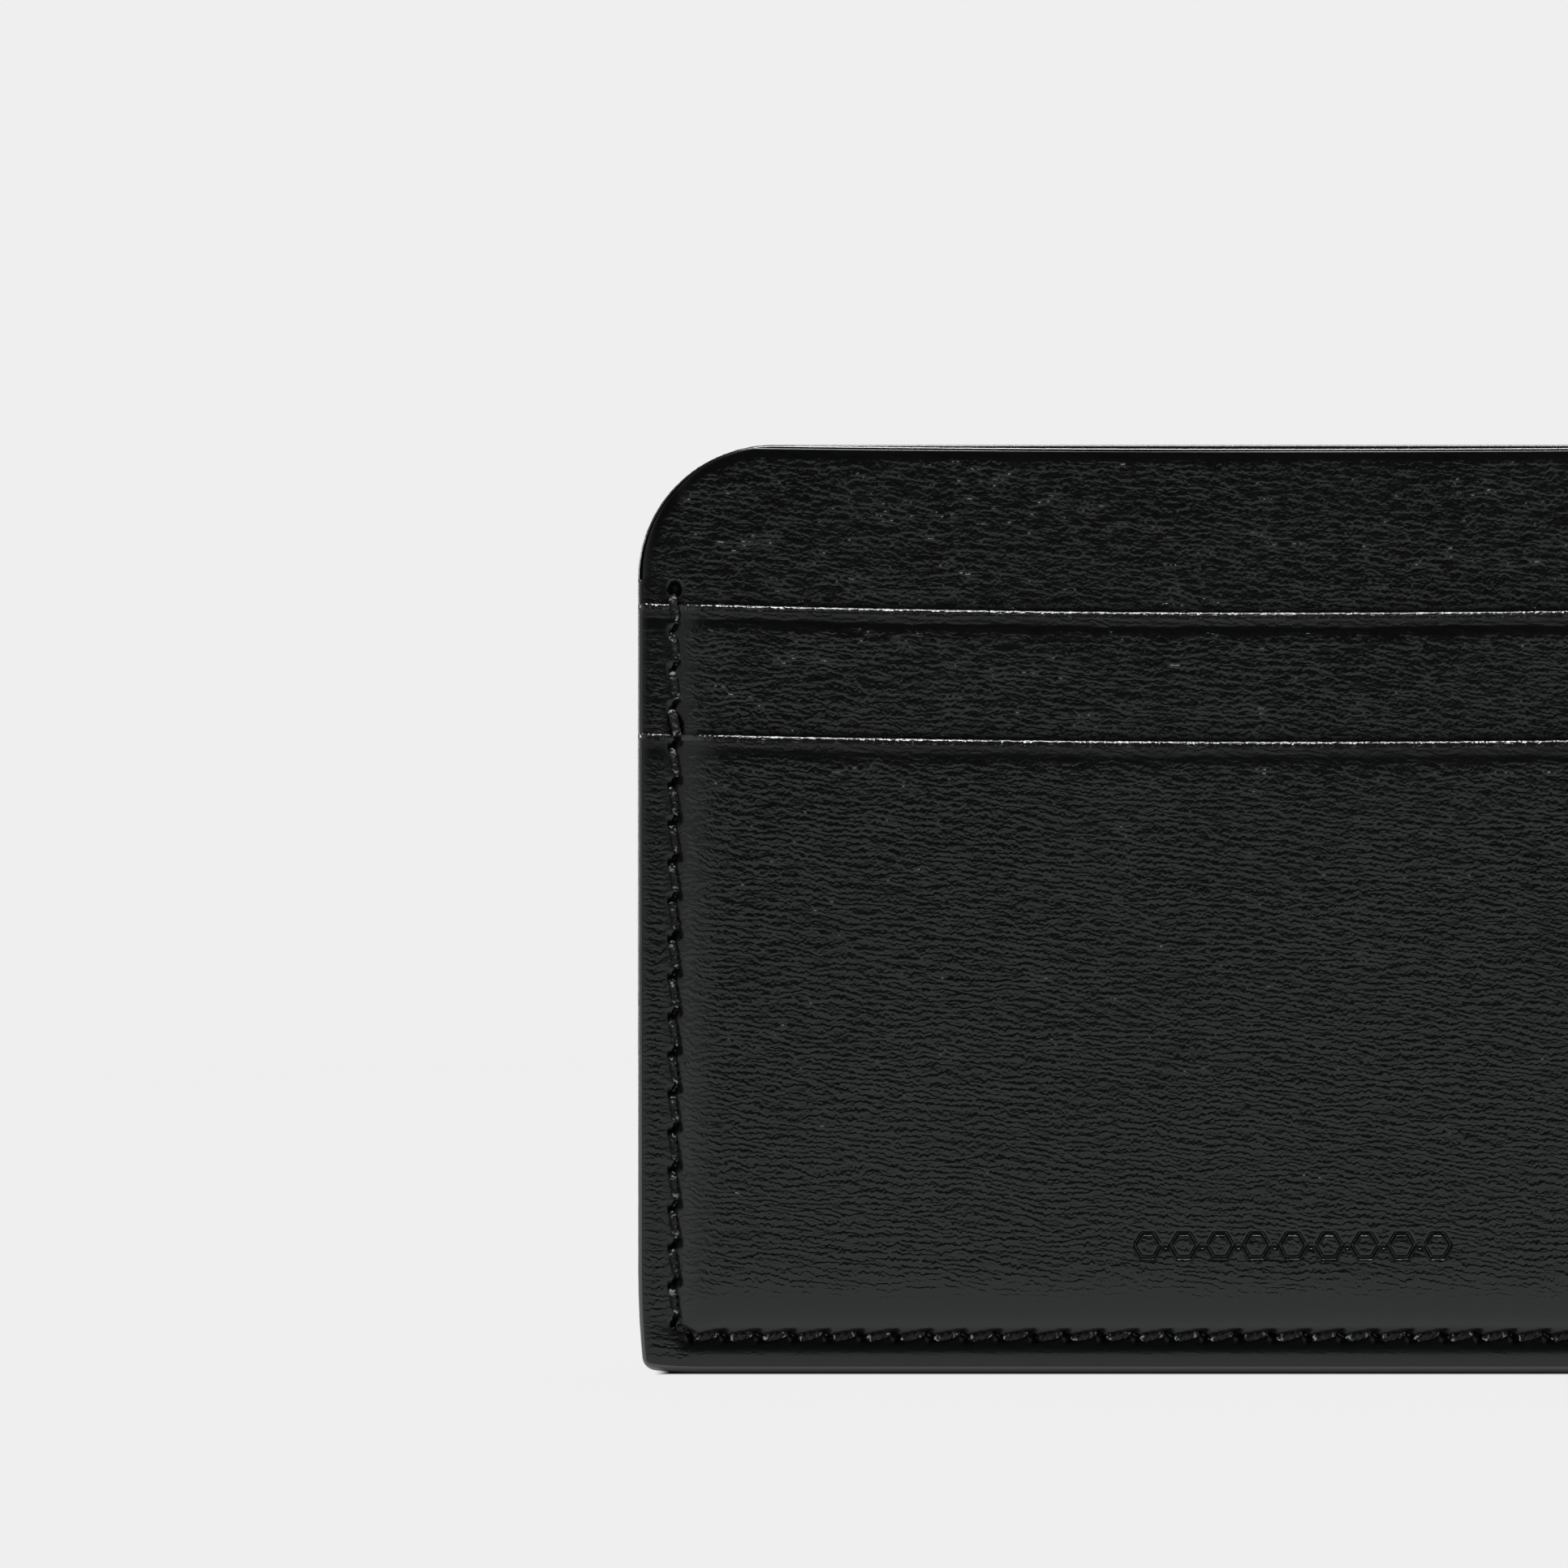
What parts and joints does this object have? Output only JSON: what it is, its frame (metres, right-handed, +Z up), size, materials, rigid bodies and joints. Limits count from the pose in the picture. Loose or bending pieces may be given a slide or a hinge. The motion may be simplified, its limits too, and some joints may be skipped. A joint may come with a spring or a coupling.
{
  "type": "card holder",
  "caption": "Slim black leather card holder with open-topped card slots on both faces, a lined pocket between them, rounded top corners and a sewn U-shaped seam.",
  "frame": {"origin": "centre of the bottom edge, on the middle plane between the two halves", "axes": "+X along the width to the right as seen from the front, +Y from the front face to the back face, +Z up to the open top edge"},
  "size_m": [0.105, 0.0084, 0.075],
  "materials": {
    "leather": "black grained calf leather, semi-gloss",
    "lining": "plain woven black lining cloth",
    "thread": "waxed black polyester thread",
    "edge_paint": "glossy black edge paint"
  },
  "bodies": {
    "root": {"front_body_panel": "leather", "back_body_panel": "leather", "front_upper_slot_panel": "leather", "front_lower_slot_panel": "leather", "back_upper_slot_panel": "leather", "back_lower_slot_panel": "leather", "front_lining": "lining", "back_lining": "lining", "front_seam_thread": "thread", "back_seam_thread": "thread", "front_slot_floor_thread": "thread", "back_slot_floor_thread": "thread", "side_and_bottom_edge_coat": "edge_paint", "front_top_edge_coat": "edge_paint", "back_top_edge_coat": "edge_paint", "front_upper_slot_edge_coat": "edge_paint", "front_lower_slot_edge_coat": "edge_paint", "back_upper_slot_edge_coat": "edge_paint", "back_lower_slot_edge_coat": "edge_paint"}
  },
  "joints": []
}
